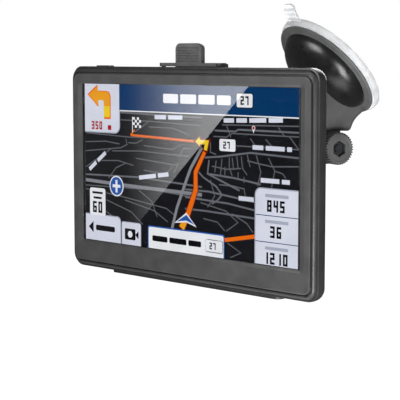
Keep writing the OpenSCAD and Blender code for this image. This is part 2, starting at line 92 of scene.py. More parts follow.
# ---------------------------------------------------------------- camera
def set_camera():
    """Places the camera at the fitted angle, with its distances in mm from the screen's centre."""
    azimuth, elevation = math.radians(44.51), math.radians(6.16)
    distance, across, rise = 682.8, 8.17, -15.54
    back = Vector((math.sin(azimuth) * math.cos(elevation),
                   -math.cos(azimuth) * math.cos(elevation), math.sin(elevation)))
    right = Vector((math.cos(azimuth), math.sin(azimuth), 0))
    above = back.cross(right)
    camera = bpy.data.objects.new("camera", bpy.data.cameras.new("camera"))
    bpy.context.scene.collection.objects.link(camera)
    camera.data.lens, camera.data.sensor_width = 119.8, 36
    camera.data.clip_start = 0.01
    place = CASE @ (back * distance + right * across + above * rise)
    turn = Matrix((right, above, back)).transposed().to_4x4()
    camera.matrix_world = Matrix.Translation(place) @ turn
    bpy.context.scene.camera = camera
    return CASE.inverted() @ place


CAMERA_IN_CASE = set_camera()


# ---------------------------------------------------------------- materials
def linear(*shades):
    """Display shades from 0 to 255 as a linear colour."""
    if len(shades) == 1:
        shades = shades * 3
    parts = [s / 255 for s in shades]
    return tuple(p / 12.92 if p <= 0.04 else ((p + 0.055) / 1.055) ** 2.4 for p in parts) + (1.0,)


def scaled(colour, factor):
    """A colour made darker or lighter."""
    return tuple(min(1.0, c * factor) for c in colour[:3]) + (1.0,)


class Shader:
    """A Principled material with the few node patterns that every finish here uses."""

    def __init__(self, name, **values):
        self.material = bpy.data.materials.new(name)
        self.material.use_nodes = True
        self.tree = self.material.node_tree
        self.bsdf = self.tree.nodes["Principled BSDF"]
        self.coordinates = self.tree.nodes.new("ShaderNodeTexCoord").outputs["Object"]
        for socket, value in values.items():
            self.bsdf.inputs[socket.replace("_", " ")].default_value = value

    def link(self, source, target):
        self.tree.links.new(source, target)

    def noise(self, size_mm, detail=3.0, stretch=None):
        """Noise with features of about this size."""
        texture = self.tree.nodes.new("ShaderNodeTexNoise")
        texture.inputs["Scale"].default_value = 1 / (size_mm * MM)
        texture.inputs["Detail"].default_value = detail
        source = self.coordinates
        if stretch:
            mapping = self.tree.nodes.new("ShaderNodeMapping")
            mapping.inputs["Scale"].default_value = stretch
            self.link(source, mapping.inputs["Vector"])
            source = mapping.outputs["Vector"]
        self.link(source, texture.inputs["Vector"])
        return texture.outputs["Fac"]

    def blend(self, factor, low, high, target, start=0.35, stop=0.65):
        """Runs a socket between two colours as the factor rises."""
        ramp = self.tree.nodes.new("ShaderNodeValToRGB")
        for element, place, colour in zip(ramp.color_ramp.elements, (start, stop), (low, high)):
            element.position, element.color = place, colour
        self.link(factor, ramp.inputs["Fac"])
        self.link(ramp.outputs["Color"], self.bsdf.inputs[target])

    def spread(self, factor, low, high, target):
        """Runs a number between two values as the factor rises."""
        scale = self.tree.nodes.new("ShaderNodeMapRange")
        limits = {"From Min": 0.3, "From Max": 0.7, "To Min": low, "To Max": high}
        for socket, value in limits.items():
            scale.inputs[socket].default_value = value
        self.link(factor, scale.inputs["Value"])
        self.link(scale.outputs["Result"], self.bsdf.inputs[target])

    def bump(self, factor, depth_mm, strength=0.5):
        """Raises the surface where the factor is high."""
        node = self.tree.nodes.new("ShaderNodeBump")
        node.inputs["Strength"].default_value = strength
        node.inputs["Distance"].default_value = depth_mm * MM
        self.link(factor, node.inputs["Height"])
        self.link(node.outputs["Normal"], self.bsdf.inputs["Normal"])


def plastic(name, shade, roughness, grain, depth):
    """Moulded plastic: fine mould grain, slow mottling and an uneven polish."""
    shader = Shader(name)
    colour, mottle = linear(shade), 0.14
    shader.blend(shader.noise(size_mm=9, detail=4), scaled(colour, 1 - mottle),
                 scaled(colour, 1 + mottle), "Base Color")
    shader.spread(shader.noise(size_mm=3.5, detail=3), roughness - 0.05, roughness + 0.06, "Roughness")
    shader.bump(shader.noise(grain, detail=2), depth)
    return shader.material


def metal(name, shade, roughness):
    """Turned or plated metal with fine drawn lines and a little tarnish."""
    shader = Shader(name, Metallic=1.0)
    colour, tarnish, gleam = linear(*shade), 0.82, 1.06
    shader.blend(shader.noise(size_mm=4, detail=3), scaled(colour, tarnish), scaled(colour, gleam),
                 "Base Color")
    lines = shader.noise(size_mm=0.5, detail=2, stretch=(1, 1, 6))
    shader.spread(lines, roughness - 0.08, roughness + 0.1, "Roughness")
    shader.bump(lines, depth_mm=0.01)
    return shader.material


def clear_vinyl():
    """Soft clear vinyl that is milky in its depth and slightly uneven on its skin."""
    shader = Shader("clear_vinyl", Transmission_Weight=0.5, IOR=1.3, Specular_IOR_Level=0.4)
    shader.blend(shader.noise(size_mm=6, detail=3), linear(214, 215, 217), linear(232, 233, 234),
                 "Base Color")
    shader.spread(shader.noise(size_mm=2.2, detail=3), 0.3, 0.42, "Roughness")
    shader.bump(shader.noise(size_mm=1.4, detail=2), depth_mm=0.03)
    return shader.material


def cover_glass():
    """Clear touch layer with a faint film of handling marks."""
    shader = Shader("cover_glass", Transmission_Weight=1.0, IOR=1.5)
    shader.blend(shader.noise(size_mm=25, detail=3), linear(243, 245, 247), linear(250, 251, 252),
                 "Base Color")
    shader.spread(shader.noise(size_mm=7, detail=4), 0.0, 0.006, "Roughness")
    return shader.material


def lit_ink(name, *shade, dim=0.93):
    """One colour of the lit picture: slowly varying backlight with a fine pixel shimmer."""
    shader = Shader(name, Base_Color=(0.004, 0.004, 0.005, 1), Roughness=0.6,
                    Specular_IOR_Level=0.0, Emission_Strength=1.0)
    colour = linear(*shade)
    shader.blend(shader.noise(size_mm=18, detail=2), scaled(colour, dim), colour, "Emission Color")
    shader.bump(shader.noise(size_mm=0.19, detail=0), depth_mm=0.01, strength=0.2)
    return shader.material


def circuit_board():
    """Green solder mask over a pattern of fine tracks."""
    shader = Shader("circuit_board", Roughness=0.4)
    tracks = {"size_mm": 1.1, "detail": 0, "stretch": (1, 1, 3)}
    shader.blend(shader.noise(**tracks), linear(12, 74, 44), linear(24, 104, 62), "Base Color",
                 start=0.48, stop=0.52)
    shader.bump(shader.noise(**tracks), depth_mm=0.03)
    return shader.material


def foil(name, low, high, size, roughness):
    """Printed, wrapped or fired surfaces of the inner parts."""
    shader = Shader(name)
    shader.blend(shader.noise(size, detail=4), linear(*low), linear(*high), "Base Color")
    shader.spread(shader.noise(size / 2, detail=3), roughness - 0.08, roughness + 0.08, "Roughness")
    shader.bump(shader.noise(size / 4, detail=2), depth_mm=0.04)
    return shader.material


FINISH = {
    "bezel": plastic("bezel_satin", 60, 0.34, grain=0.28, depth=0.008),
    "rim": plastic("rim_satin", 38, 0.46, grain=0.3, depth=0.01),
    "shell": plastic("shell_satin", 38, 0.36, grain=0.3, depth=0.015),
    "latch": plastic("latch_satin", 72, 0.38, grain=0.3, depth=0.01),
    "cradle": plastic("cradle_matte", 40, 0.5, grain=0.4, depth=0.03),
    "arm": plastic("arm_matte", 80, 0.5, grain=0.4, depth=0.025),
    "knob": plastic("knob_matte", 77, 0.5, grain=0.35, depth=0.025),
    "dome": plastic("dome_satin", 22, 0.3, grain=0.5, depth=0.006),
    "flange": plastic("flange_satin", 88, 0.4, grain=0.4, depth=0.012),
    "black": plastic("black_moulding", 30, 0.45, grain=0.3, depth=0.02),
    "steel": metal("plated_steel", (196, 197, 200), 0.28),
    "dark_steel": metal("blackened_steel", (58, 60, 63), 0.36),
    "gold": metal("gilt_contacts", (214, 180, 110), 0.3),
    "board": circuit_board(),
    "cell": foil("cell_wrap", (150, 156, 170), (184, 189, 200), 8, 0.3),
    "ceramic": foil("fired_ceramic", (190, 174, 140), (214, 200, 168), 2, 0.6),
    "flex": foil("flex_print", (176, 104, 38), (204, 130, 58), 3, 0.35),
    "vinyl": clear_vinyl(),
    "glass": cover_glass(),
}


# ---------------------------------------------------------------- mesh tools
def mesh_object(name, points, faces, local, sharp=32):
    """An object from local millimetre points, with even outward normals."""
    mesh = bpy.data.meshes.new(name)
    mesh.from_pydata([local @ Vector(p) for p in points], [], faces)
    shell = bmesh.new()
    shell.from_mesh(mesh)
    bmesh.ops.remove_doubles(shell, verts=shell.verts, dist=1e-7)
    bmesh.ops.recalc_face_normals(shell, faces=shell.faces)
    if shell.calc_volume(signed=True) < 0:
        bmesh.ops.reverse_faces(shell, faces=shell.faces)
    shell.to_mesh(mesh)
    shell.free()
    obj = bpy.data.objects.new(name, mesh)
    bpy.context.scene.collection.objects.link(obj)
    smooth(mesh, sharp)
    return obj


def smooth(mesh, sharp):
    """Smooth shading that breaks at edges sharper than this many degrees."""
    mesh.polygons.foreach_set("use_smooth", [True] * len(mesh.polygons))
    mesh.set_sharp_from_angle(angle=math.radians(sharp))


def loft(name, loops, local, ring=False, sharp=32):
    """Skins a run of loops that have equal point counts, closed by two caps or into a ring."""
    count = len(loops[0])
    points = [p for loop in loops for p in loop]
    runs = [(i, i + 1) for i in range(len(loops) - 1)]
    if ring:
        runs.append((len(loops) - 1, 0))
    faces = []
    for a, b in runs:
        for i in range(count):
            j = (i + 1) % count
            faces.append((a * count + i, a * count + j, b * count + j, b * count + i))
    if not ring:
        faces.append(tuple(range(count)))
        faces.append(tuple(range((len(loops) - 1) * count, len(loops) * count)))
    return mesh_object(name, points, faces, local, sharp)


def upright_loop(half, top, bottom, radius, y, steps=8):
    """A rounded rectangle in X and Z at one depth."""
    points = []
    corners = ((half, top, 0), (-half, top, 90), (-half, bottom, 180), (half, bottom, 270))
    for x, z, start in corners:
        cx = x - math.copysign(radius, x)
        cz = z - radius if z == top else z + radius
        for i in range(steps + 1):
            angle = math.radians(start + 90 * i / steps)
            points.append((cx + radius * math.cos(angle), y, cz + radius * math.sin(angle)))
    return points


def revolve(name, profile, local, steps, ring=False):
    """Turns (radius, height) points about the local Z axis."""
    loops = []
    for radius, height in profile:
        angles = [2 * math.pi * i / steps for i in range(steps)]
        loops.append([(radius * math.cos(a), radius * math.sin(a), height) for a in angles])
    return loft(name, loops, local, ring=ring)


def block(name, low, high, local):
    """A box between two corners, for cutting and for joining."""
    (x0, y0, z0), (x1, y1, z1) = low, high
    bottom = [(x0, y0, z0), (x1, y0, z0), (x1, y1, z0), (x0, y1, z0)]
    return loft(name, [bottom, [(x, y, z1) for x, y, z in bottom]], local)


def rod(name, start, end, radius, local, steps=32):
    """A round bar between two points, for cutting and for joining."""
    start, end = Vector(start), Vector(end)
    turn = (end - start).to_track_quat("Z", "Y").to_matrix()
    angles = [2 * math.pi * i / steps for i in range(steps)]
    ring = [turn @ Vector((radius * math.cos(a), radius * math.sin(a), 0)) for a in angles]
    return loft(name, [[start + p for p in ring], [end + p for p in ring]], local)


def combine(obj, tools, operation="DIFFERENCE", sharp=32):
    """Cuts or joins the tools and bakes the result into the object's mesh."""
    for tool in tools:
        modifier = obj.modifiers.new("combine", "BOOLEAN")
        modifier.object = tool
        modifier.operation = operation
        modifier.solver = "MANIFOLD"
    bpy.context.view_layer.update()
    graph = bpy.context.evaluated_depsgraph_get()
    mesh = bpy.data.meshes.new_from_object(obj.evaluated_get(graph))
    obj.modifiers.clear()
    obj.data = mesh
    for tool in tools:
        bpy.data.objects.remove(tool)
    smooth(mesh, sharp)


def soften(obj, width_mm):
    """Rounds the hard edges and keeps the flats flat under the light."""
    weld = obj.modifiers.new("weld", "WELD")
    weld.merge_threshold = 2e-6
    bevel = obj.modifiers.new("bevel", "BEVEL")
    bevel.width = width_mm * MM
    bevel.segments = 2
    bevel.limit_method = "ANGLE"
    bevel.angle_limit = math.radians(30)
    bevel.harden_normals = True
    bevel.miter_outer = "MITER_ARC"


def dress(obj, finish, body, slot, *nodes):
    """Gives a piece its finish and its body, and hides the CAD nodes it stands for; broad faces stay
    flat.
    """
    level = obj.modifiers.new("level", "WEIGHTED_NORMAL")
    level.keep_sharp = True
    obj.data.materials.clear()
    obj.data.materials.append(FINISH[finish])
    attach(obj, body)
    if nodes:
        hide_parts(*nodes)


# ---------------------------------------------------------------- the case
def darken_rim(piece):
    """Gives the bezel's outer ring, from the groove round the plate outwards, the darker finish."""
    plate_x, plate_low, plate_high = 85.3, -54.7, 48.5
    piece.data.materials.append(FINISH["rim"])
    to_case = CASE.inverted()
    for face in piece.data.polygons:
        centre = to_case @ face.center
        on_plate = abs(centre.x) <= plate_x and plate_low < centre.z < plate_high
        face.material_index = int(not on_plate)


def front_frame():
    """The bezel's closed section, from the window's wall over the front to the hidden skirt."""
    section = [
        # half width, top, bottom, corner radius, depth
        (78.6, 43.3, -43.3, 1.0, -0.60), (78.6, 43.3, -43.3, 1.0, -0.80),
        (81.5, 44.6, -44.6, 2.2, -1.58), (81.7, 44.8, -44.8, 2.4, -1.64),
        (85.0, 48.2, -54.4, 4.2, -1.64), (85.25, 48.45, -54.65, 4.4, -1.50),
        (85.4, 48.6, -54.8, 4.5, -0.25), (85.95, 49.2, -55.3, 4.8, -0.25),
        (86.1, 49.4, -55.5, 4.9, -0.85), (86.6, 50.2, -56.2, 5.2, -0.80),
        (87.1, 51.0, -57.0, 5.4, -0.30), (87.35, 51.3, -57.35, 5.5, 0.30),
        (87.4, 51.4, -57.4, 5.5, 0.90), (86.2, 50.2, -56.2, 5.0, 0.95),
        (86.2, 50.2, -56.2, 5.0, 2.00), (85.2, 49.2, -55.2, 4.5, 2.00),
        (82.5, 46.5, -52.5, 3.0, 0.90), (81.2, 45.5, -48.5, 2.2, 0.90),
        (81.2, 45.5, -48.5, 2.2, -0.62),
    ]
    sharp = 24
    loops = [upright_loop(*row, steps=12) for row in section]
    bezel = loft("bezel", loops, CASE, ring=True, sharp=sharp)
    hole_x, hole_r = -84.4, 0.35
    holes = [rod("hole", (hole_x, -3, z), (hole_x, 0, z), hole_r, CASE, 16) for z in (22.9, 25.1)]
    combine(bezel, holes, sharp=sharp)
    dress(bezel, "bezel", "navigator", "case_front", "front_frame")
    darken_rim(bezel)


def tray_skin(inset, front, back, radius, steps=8):
    """Rows of one skin of the rear tray, whose back edge is rounded."""
    def row(step, corner, depth):
        return (CASE_X - inset - step, CASE_TOP - inset - step, CASE_BOTTOM + inset + step,
                corner, depth)

    rows = [row(0, radius, front), row(0, radius, back - radius)]
    for i in range(1, steps + 1):
        angle = math.pi / 2 * i / steps
        step = radius * (1 - math.cos(angle))
        rows.append(row(step, max(radius - step, 0.3), back - radius + radius * math.sin(angle)))
    return rows


def key_hole():
    """The slot with round ends that the power key sits in."""
    middle_x, middle_y, half, radius = -65.5, 4.6, 4.9, 1.7
    turns = [(side, math.radians(first + 22.5 * i)) for side, first in ((1, -90), (-1, 90))
             for i in range(9)]
    loops = [[(middle_x + half * side + radius * math.cos(a), middle_y + radius * math.sin(a), z)
              for side, a in turns] for z in (47, 54)]
    return loft("key", loops, CASE)


def shell_cutters():
    """What opens the shell: screw wells, sockets, hook and foot slots, the grille and the key."""
    outside, inside = -90, -85.4
    jack_y, jack_z = 5.6, -28
    wells = [(x, z) for x in (-83, 83) for z in (47.2, -53.3)]
    cutters = [rod("well", (x, 7.25, z), (x, 12, z), 2.15, CASE) for x, z in wells]
    cutters += [rod("jack", (outside, jack_y, jack_z), (-84, jack_y, jack_z), 2.6, CASE),
                block("usb", (outside, 3.7, -12.1), (inside, 7.3, -3.9), CASE),
                block("card", (outside, 4.7, 16), (inside, 6.3, 28), CASE)]
    cutters += [block("hook", (x - 1, 3.8, 51.3), (x + 1, 8.2, 54), CASE) for x in (-20.4, 20.4)]
    cutters += [block("foot", (x - 4.4, 4, -60), (x + 4.4, 6, -57.3), CASE) for x in (-30, 30)]
    for row in range(-3, 4):
        lift = 2.4 * row
        cutters.append(block("slot", (-58, 8, lift - 40.5), (-42, 11, lift - 39.5), CASE))
    return cutters + [key_hole()]


def back_shell():
    """The rear tray: a thin front edge, rounded back edges, sockets, grille and screw wells."""
    wall, sharp = 1.6, 28
    edge = [(87.0, 51.0, -57.1, 5.1, 0.98), (87.8, 51.8, -57.9, 5.9, 0.98),
            (88.25, 52.25, -58.35, 6.35, 1.12)]
    inner = tray_skin(wall, front=1.1, back=8.7, radius=4.9)
    outer = tray_skin(0, front=1.4, back=CASE_BACK, radius=6.5)
    loops = [upright_loop(*row, steps=10) for row in inner[::-1] + edge + outer]
    shell = loft("rear_shell", loops, CASE, sharp=sharp)
    combine(shell, shell_cutters(), sharp=sharp)
    dress(shell, "shell", "navigator", "case_back", "back_shell")


def screen_stack():
    """The clear touch layer over the dark panel."""
    glass = [(80.9, 45.2, -48.2, 2.1, -0.36), (81.0, 45.3, -48.3, 2.2, -0.40),
             (81.0, 45.3, -48.3, 2.2, -0.62), (80.9, 45.2, -48.2, 2.1, -0.66)]
    pane = loft("touch_pane", [upright_loop(*row) for row in glass], CASE, sharp=5)
    dress(pane, "glass", "navigator", "touch_glass", "touch_glass")
    panel = [(80.1, 44.4, -47.4, 1.0, 2.2), (80.3, 44.6, -47.6, 1.0, 2.0),
             (80.3, 44.6, -47.6, 1.0, 0.1), (80.2, 44.5, -47.5, 1.0, -0.03)]
    lcd = loft("display_panel", [upright_loop(*row) for row in panel], CASE)
    dress(lcd, "black", "navigator", "lcd", "lcd_panel")


# ---------------------------------------------------------------- the lit picture
class Picture:
    """Flat shapes on the display, kept in thin layers in front of the panel."""

    def __init__(self):
        self.points, self.faces, self.inks, self.names = [], [], [], []

    def shape(self, ink, outline, layer):
        """A flat shape from its (x, z) outline."""
        if ink not in self.names:
            self.names.append(ink)
        first = len(self.points)
        depth = -0.04 - 0.02 * layer
        self.points += [(x, depth, z) for x, z in outline]
        self.faces.append(tuple(range(first, len(self.points))))
        self.inks.append(self.names.index(ink))

    def bar(self, ink, x0, x1, z0, z1, layer, corner=0.0, rounded="abcd"):
        """A box whose named corners are round: a and b at the top, d and c at the bottom."""
        outline = []
        places = (("b", x1, z1, -1, -1, 0), ("a", x0, z1, 1, -1, 90),
                  ("d", x0, z0, 1, 1, 180), ("c", x1, z0, -1, 1, 270))
        for key, x, z, to_x, to_z, start in places:
            r = corner if key in rounded else 0
            turns = [start + 15 * i for i in range(7)] if r else [start]
            for angle in map(math.radians, turns):
                outline.append((x + to_x * r + r * math.cos(angle),
                                z + to_z * r + r * math.sin(angle)))
        self.shape(ink, outline, layer)

    def disc(self, ink, x, z, radius, layer):
        """A round shape about a centre."""
        steps = 28
        turns = [2 * math.pi * i / steps for i in range(steps)]
        outline = [(x + radius * math.cos(a), z + radius * math.sin(a)) for a in turns]
        self.shape(ink, outline, layer)

    def road(self, ink, route, width, layer, end_width=None):
        """A line with mitred corners, which may taper to another width."""
        end_width = end_width or width
        spots = [Vector(p) for p in route]
        ways = [(b - a).normalized() for a, b in zip(spots, spots[1:])]
        left, right = [], []
        for i, spot in enumerate(spots):
            before, after = ways[max(i - 1, 0)], ways[min(i, len(ways) - 1)]
            along = (before + after).normalized()
            across = Vector((-along.y, along.x)) / max(along.dot(after), 0.6)
            half = (width + (end_width - width) * i / (len(spots) - 1)) / 2
            left.append(spot + across * half)
            right.append(spot - across * half)
        for i in range(len(spots) - 1):
            self.shape(ink, [left[i], left[i + 1], right[i + 1], right[i]], layer)

    def number(self, ink, digits, x, z, height, layer):
        """Plain seven-bar figures."""
        lit = {"0": "abcdef", "1": "bc", "2": "abged", "3": "abgcd", "4": "fgbc", "5": "afgcd",
               "6": "afgedc", "7": "abc", "8": "abcdefg", "9": "abcfgd"}
        wide, t, waist = height * 0.52, height * 0.2, height / 2
        spans = {"a": (0, wide, height - t, height), "d": (0, wide, 0, t),
                 "g": (0, wide, waist - t / 2, waist + t / 2),
                 "b": (wide - t, wide, waist, height), "c": (wide - t, wide, 0, waist),
                 "f": (0, t, waist, height), "e": (0, t, 0, waist)}
        for digit in digits:
            for part in lit[digit]:
                x0, x1, z0, z1 = spans[part]
                self.bar(ink, x + x0, x + x1, z + z0, z + z1, layer)
            x += wide * 1.4

    def build(self, inks):
        """Turns the gathered shapes into one piece of the display."""
        picture = mesh_object("screen_picture", self.points, self.faces, CASE)
        for name in self.names:
            picture.data.materials.append(inks[name])
        picture.data.polygons.foreach_set("material_index", self.inks)
        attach(picture, "navigator")


INKS = {
    "ground": lit_ink("ink_ground", 24, 24, 27, dim=0.7),
    "lane": lit_ink("ink_lane", 100, 101, 106),
    "street": lit_ink("ink_street", 108, 110, 116),
    "avenue": lit_ink("ink_avenue", 136, 138, 144),
    "navy": lit_ink("ink_navy", 0, 54, 104),
    "white": lit_ink("ink_white", 246, 247, 250),
    "lavender": lit_ink("ink_lavender", 227, 229, 242),
    "shade": lit_ink("ink_shade", 176, 180, 196),
    "black": lit_ink("ink_black", 12, 12, 16),
    "red": lit_ink("ink_red", 178, 22, 26),
    "maroon": lit_ink("ink_maroon", 112, 20, 14),
    "orange": lit_ink("ink_orange", 246, 112, 14),
    "amber": lit_ink("ink_amber", 250, 168, 30),
    "yellow": lit_ink("ink_yellow", 252, 214, 40),
    "blue": lit_ink("ink_blue", 36, 92, 176),
}


def draw_map(page):
    """Dark ground and its grey streets."""
    page.bar("ground", -LIT_X, LIT_X, -LIT_Z, LIT_Z, 0)
    lanes = [
        [(-48, 24), (-26, 24), (13, 23)], [(-26, 24), (-31, 21), (-37, 18)],
        [(-76, 16), (-41, 15), (-10, 16)], [(-44, 14), (-43, 11), (-48, 9), (-77, 6)],
        [(-42, 12), (-36, 12), (-31, 14)], [(-55, 7), (-32, 8), (4, 7)],
        [(-36, 4), (-6, 2), (-4, 3)], [(-77, -3), (-56, 8)], [(-4, 6), (0, 11), (7, 11)],
        [(-4, 3), (-7, -2)], [(-77, -13), (-23, -12), (13, -14)],
        [(-77, -15), (-50, -17), (-13, -21), (-7, -24)], [(-61, -26), (-50, -31)],
        [(27, 24), (77, 25)], [(21, 18), (30, 18), (34, 20), (77, 20)], [(71, 20), (77, 14)],
        [(36, 14), (77, 14)], [(19, 15), (19, 10), (23, 9)], [(23, 6), (22, 0)],
        [(27, 7), (26, -1)], [(29, 3), (29, -1)], [(32, 8), (32, 3), (34, -1)],
        [(38, 1), (38, -2)], [(42, -1), (42, -4)], [(25, -6), (34, -6), (42, -7), (43, -11)],
        [(62, 3), (67, 2), (69, 0)], [(-77, 11), (-60, 12), (-49, 11)],
        [(-30, 11), (-8, 10), (-2, 13)], [(-70, 1), (-50, 2), (-38, 0)],
        [(-30, -2), (-14, -3), (-8, 1)], [(-26, 21), (-8, 21), (4, 18)],
        [(-58, -8), (-52, -2), (-44, 1)], [(-45, -19), (-22, -23), (-12, -28)],
        [(-60, -20), (-40, -25), (-31, -31)], [(-34, -13), (-24, -18), (-20, -26)],
        [(46, 18), (50, 14)], [(56, 18), (61, 14)], [(64, 24), (68, 20)], [(30, 24), (33, 18)],
        [(44, 7), (60, 5), (77, 6)], [(50, 10), (53, 2), (51, -5)], [(58, 9), (62, 3), (60, -5)],
        [(20, 3), (30, 2), (40, 3)], [(19, -4), (22, -12), (17, -18)],
        [(12, -16), (30, -19), (38, -24), (30, -29)], [(34, -20), (44, -24), (48, -28)],
        [(31, -35), (40, -39), (33, -42)], [(14, -24), (24, -25), (29, -29)],
        [(34, 8), (35, 2)], [(37, 9), (38, 3)], [(40, 9), (41, 3), (44, 0)], [(44, 10), (46, 4)],
    ]
    streets = [
        [(-48, 28), (13, 27)], [(-77, -7), (-33, -6), (13, -8)],
        [(22, 21), (36, 21), (38, 22), (77, 22)], [(14, 7), (25, 8), (46, 11), (77, 10)],
        [(18, 6), (17, -1), (39, -8)], [(17, -1), (35, -2), (53, -4)],
        [(10, 0), (14, -3), (23, -7), (27, -11), (24, -14), (20, -16)],
        [(1, -10), (18, -10), (49, -13)], [(1, -14), (31, -15), (49, -17)],
        [(1, -20), (16, -20), (49, -21)],
    ]
    avenues = [[(-9, -32), (-5, -20), (2, -5), (5, 1), (13, 12)],
               [(-77, -10), (-47, -11), (13, -12)]]
    kinds = (("lane", lanes, 0.6), ("street", streets, 0.9), ("avenue", avenues, 1.8))
    for layer, (ink, lines, width) in enumerate(kinds, start=1):
        for line in lines:
            page.road(ink, line, width, layer)


def draw_labels(page):
    """Plain bars where a map carries its street names, each with its slope in degrees."""
    names = [(-21.5, 26.3, 1, (8.5, 10.5)), (28.2, 26.2, 2, (7, 7, 11, 9)),
             (47.6, 13.8, 0, (7, 12, 3)), (-73.7, -4.0, 36, (7, 8)), (-33.6, -6.2, 8, (13, 8)),
             (53.0, -1.9, 0, (12, 5)), (38.5, -11.8, 0, (10,))]
    thickness, gap = 2.2, 1.6
    for x, z, slope, words in names:
        along = Vector((math.cos(math.radians(slope)), math.sin(math.radians(slope))))
        start = Vector((x, z))
        for word in words:
            page.road("lavender", [start, start + along * word], thickness, 5)
            start = start + along * (word + gap)


def draw_route(page):
    """The planned way with its turn arrow and the vehicle's mark."""
    page.road("orange", [(-40.1, 16.2), (8.6, 14.9)], 1.2, 4)
    page.road("orange", [(-40.1, 16.2), (-37, 19)], 0.9, 4)
    page.road("maroon", [(15.2, 10.3), (8.6, -0.7), (8.6, -9.9), (2.8, -23.2), (-1.8, -31)],
              2.9, 4, 4.8)
    page.road("orange", [(15, 9.9), (8.6, -0.7), (8.6, -9.9), (2.8, -23.2)], 2.1, 5, 3.2)
    page.road("amber", [(2.8, -23.2), (-1.6, -30.3)], 3.2, 5, 3.9)
    page.road("maroon", [(10.5, 15.0), (17.2, 15.0), (15.2, 9.8)], 3.4, 5)
    page.road("yellow", [(10.5, 14.8), (16.6, 14.8), (15.5, 10.8)], 2.2, 6)
    page.shape("maroon", [(7.0, 15.0), (12.2, 18.9), (12.2, 11.1)], 5)
    page.shape("yellow", [(8.3, 15.0), (11.6, 17.4), (11.6, 12.6)], 6)
    page.road("orange", [(29, -33.6), (49.2, -29.9)], 2.0, 4)
    page.shape("white", [(-6.8, -28.0), (1.9, -22.0), (9.4, -29.0), (1.9, -27.0)], 7)
    page.shape("blue", [(-5.2, -27.2), (1.9, -23.1), (7.9, -27.9), (1.9, -26.1)], 8)


def draw_markers(page):
    """The chequered flag at the route's end, and a place's pin."""
    flag_x, flag_z, wide, tall = -38.3, 20.2, 1.6, 1.4
    for row in range(4):
        for column in range(4):
            ink = "white" if (row + column) % 2 else "black"
            x, z = flag_x + wide * column, flag_z + tall * row
            page.bar(ink, x, x + wide, z, z + tall, 5)
    page.bar("white", flag_x - 0.5, flag_x, 17.8, 25.9, 5)
    pin_x, pin_z = 48.2, 23.2
    page.disc("white", pin_x, pin_z, 1.1, 4)
    page.shape("white", [(47.5, 22.4), (48.9, 22.4), (pin_x, 20.6)], 4)
    page.disc("red", pin_x, pin_z, 0.8, 5)


def draw_banner(page):
    """The blue banner with four plain words, and the white road labels."""
    page.bar("white", -49.4, LIT_X, 28.6, LIT_Z, 6)
    page.bar("navy", -49, LIT_X, 29.2, LIT_Z, 7)
    for x0, x1 in ((-15, -4), (-2.4, 9), (10.6, 22), (23.6, 33)):
        page.bar("white", x0, x1, 33.8, 38.6, 8, 0.8)
    for x0, x1, z0, z1 in ((37, 47.5, 33, 39.7), (25.4, 36.3, 11, 17), (16, 27.5, -40.4, -34.6)):
        page.bar("black", x0 - 0.5, x1 + 0.5, z0 - 0.5, z1 + 0.5, 8, 1.2)
        page.bar("white", x0, x1, z0, z1, 9, 1.0)
        page.number("black", "27", x0 + 2.6, z0 + 1.2, z1 - z0 - 2.4, 10)


def draw_turn_panel(page):
    """The next turn's arrow over its distance."""
    page.bar("shade", -LIT_X, -48.4, 16.4, LIT_Z, 7, 4, "c")
    page.bar("lavender", -LIT_X, -49, 17, LIT_Z, 8, 3.6, "c")
    turn = [(-73.6, 36.9), (-66.2, 41.8), (-66.2, 38.8), (-59.4, 38.8), (-57.4, 38.2), (-56.4, 36.2),
            (-56.4, 25.1), (-61.3, 25.1), (-61.3, 33.2), (-62.2, 34.2), (-65.9, 34.2), (-65.5, 30.8)]
    middle = Vector((-62.5, 34.5))
    page.shape("orange", [middle + (Vector(p) - middle) * 1.11 for p in turn], 9)
    page.shape("amber", turn, 10)
    page.bar("yellow", -61.3, -56.4, 25.1, 31, 11)
    page.number("red", "350", -71.5, 18.2, 4.4, 9)
    page.bar("red", -58.2, -55.4, 18.2, 20.8, 9, 0.4)


def draw_signs(page):
    """A round badge with a cross, and a plain speed sign."""
    page.disc("white", -51.5, -11.9, 5.6, 7)
    page.disc("blue", -51.5, -11.9, 4.9, 8)
    page.bar("white", -52.3, -50.7, -15.4, -8.6, 9)
    page.bar("white", -54.6, -48.4, -12.7, -11.1, 9)
    page.bar("black", -74.1, -60, -30.1, -13.4, 7, 1.8)
    page.bar("white", -73.5, -60.6, -29.5, -14, 8, 1.5)
    page.bar("black", -71.4, -62.8, -17.2, -16.0, 9)
    page.bar("black", -70.4, -63.8, -20.0, -18.8, 9)
    page.number("black", "60", -71.0, -27.6, 6.2, 9)


def draw_buttons(page):
    """The back and camera buttons and the street panel along the foot."""
    page.bar("shade", -LIT_X, -48, -LIT_Z, -28.4, 7, 3, "b")
    page.bar("lavender", -LIT_X, -48.6, -LIT_Z, -29, 8, 2.6, "b")
    page.shape("black", [(-74.6, -35.8), (-70.6, -32.6), (-70.6, -39)], 9)
    page.bar("black", -68.6, -53, -37.4, -34.4, 9, 0.8)
    page.bar("shade", -47.6, -32.2, -LIT_Z, -30.6, 7, 1.4, "ab")
    page.bar("lavender", -47.2, -32.6, -LIT_Z, -31, 8, 1.2, "ab")
    page.bar("black", -45, -36.6, -40.2, -34.2, 9, 0.8)
    page.disc("white", -40.8, -37.2, 1.8, 10)
    page.shape("black", [(-36.8, -37.2), (-34.2, -35), (-34.2, -39.4)], 9)
    page.bar("blue", -27, 29, -LIT_Z, -31, 7, 1.2, "ab")
    page.bar("white", -26.3, 28.3, -LIT_Z, -31.7, 8, 1.0, "ab")
    for x0, x1 in ((-23.5, -12), (-10.6, 2), (3.4, 12.6)):
        page.bar("black", x0, x1, -39, -36, 9, 0.8)


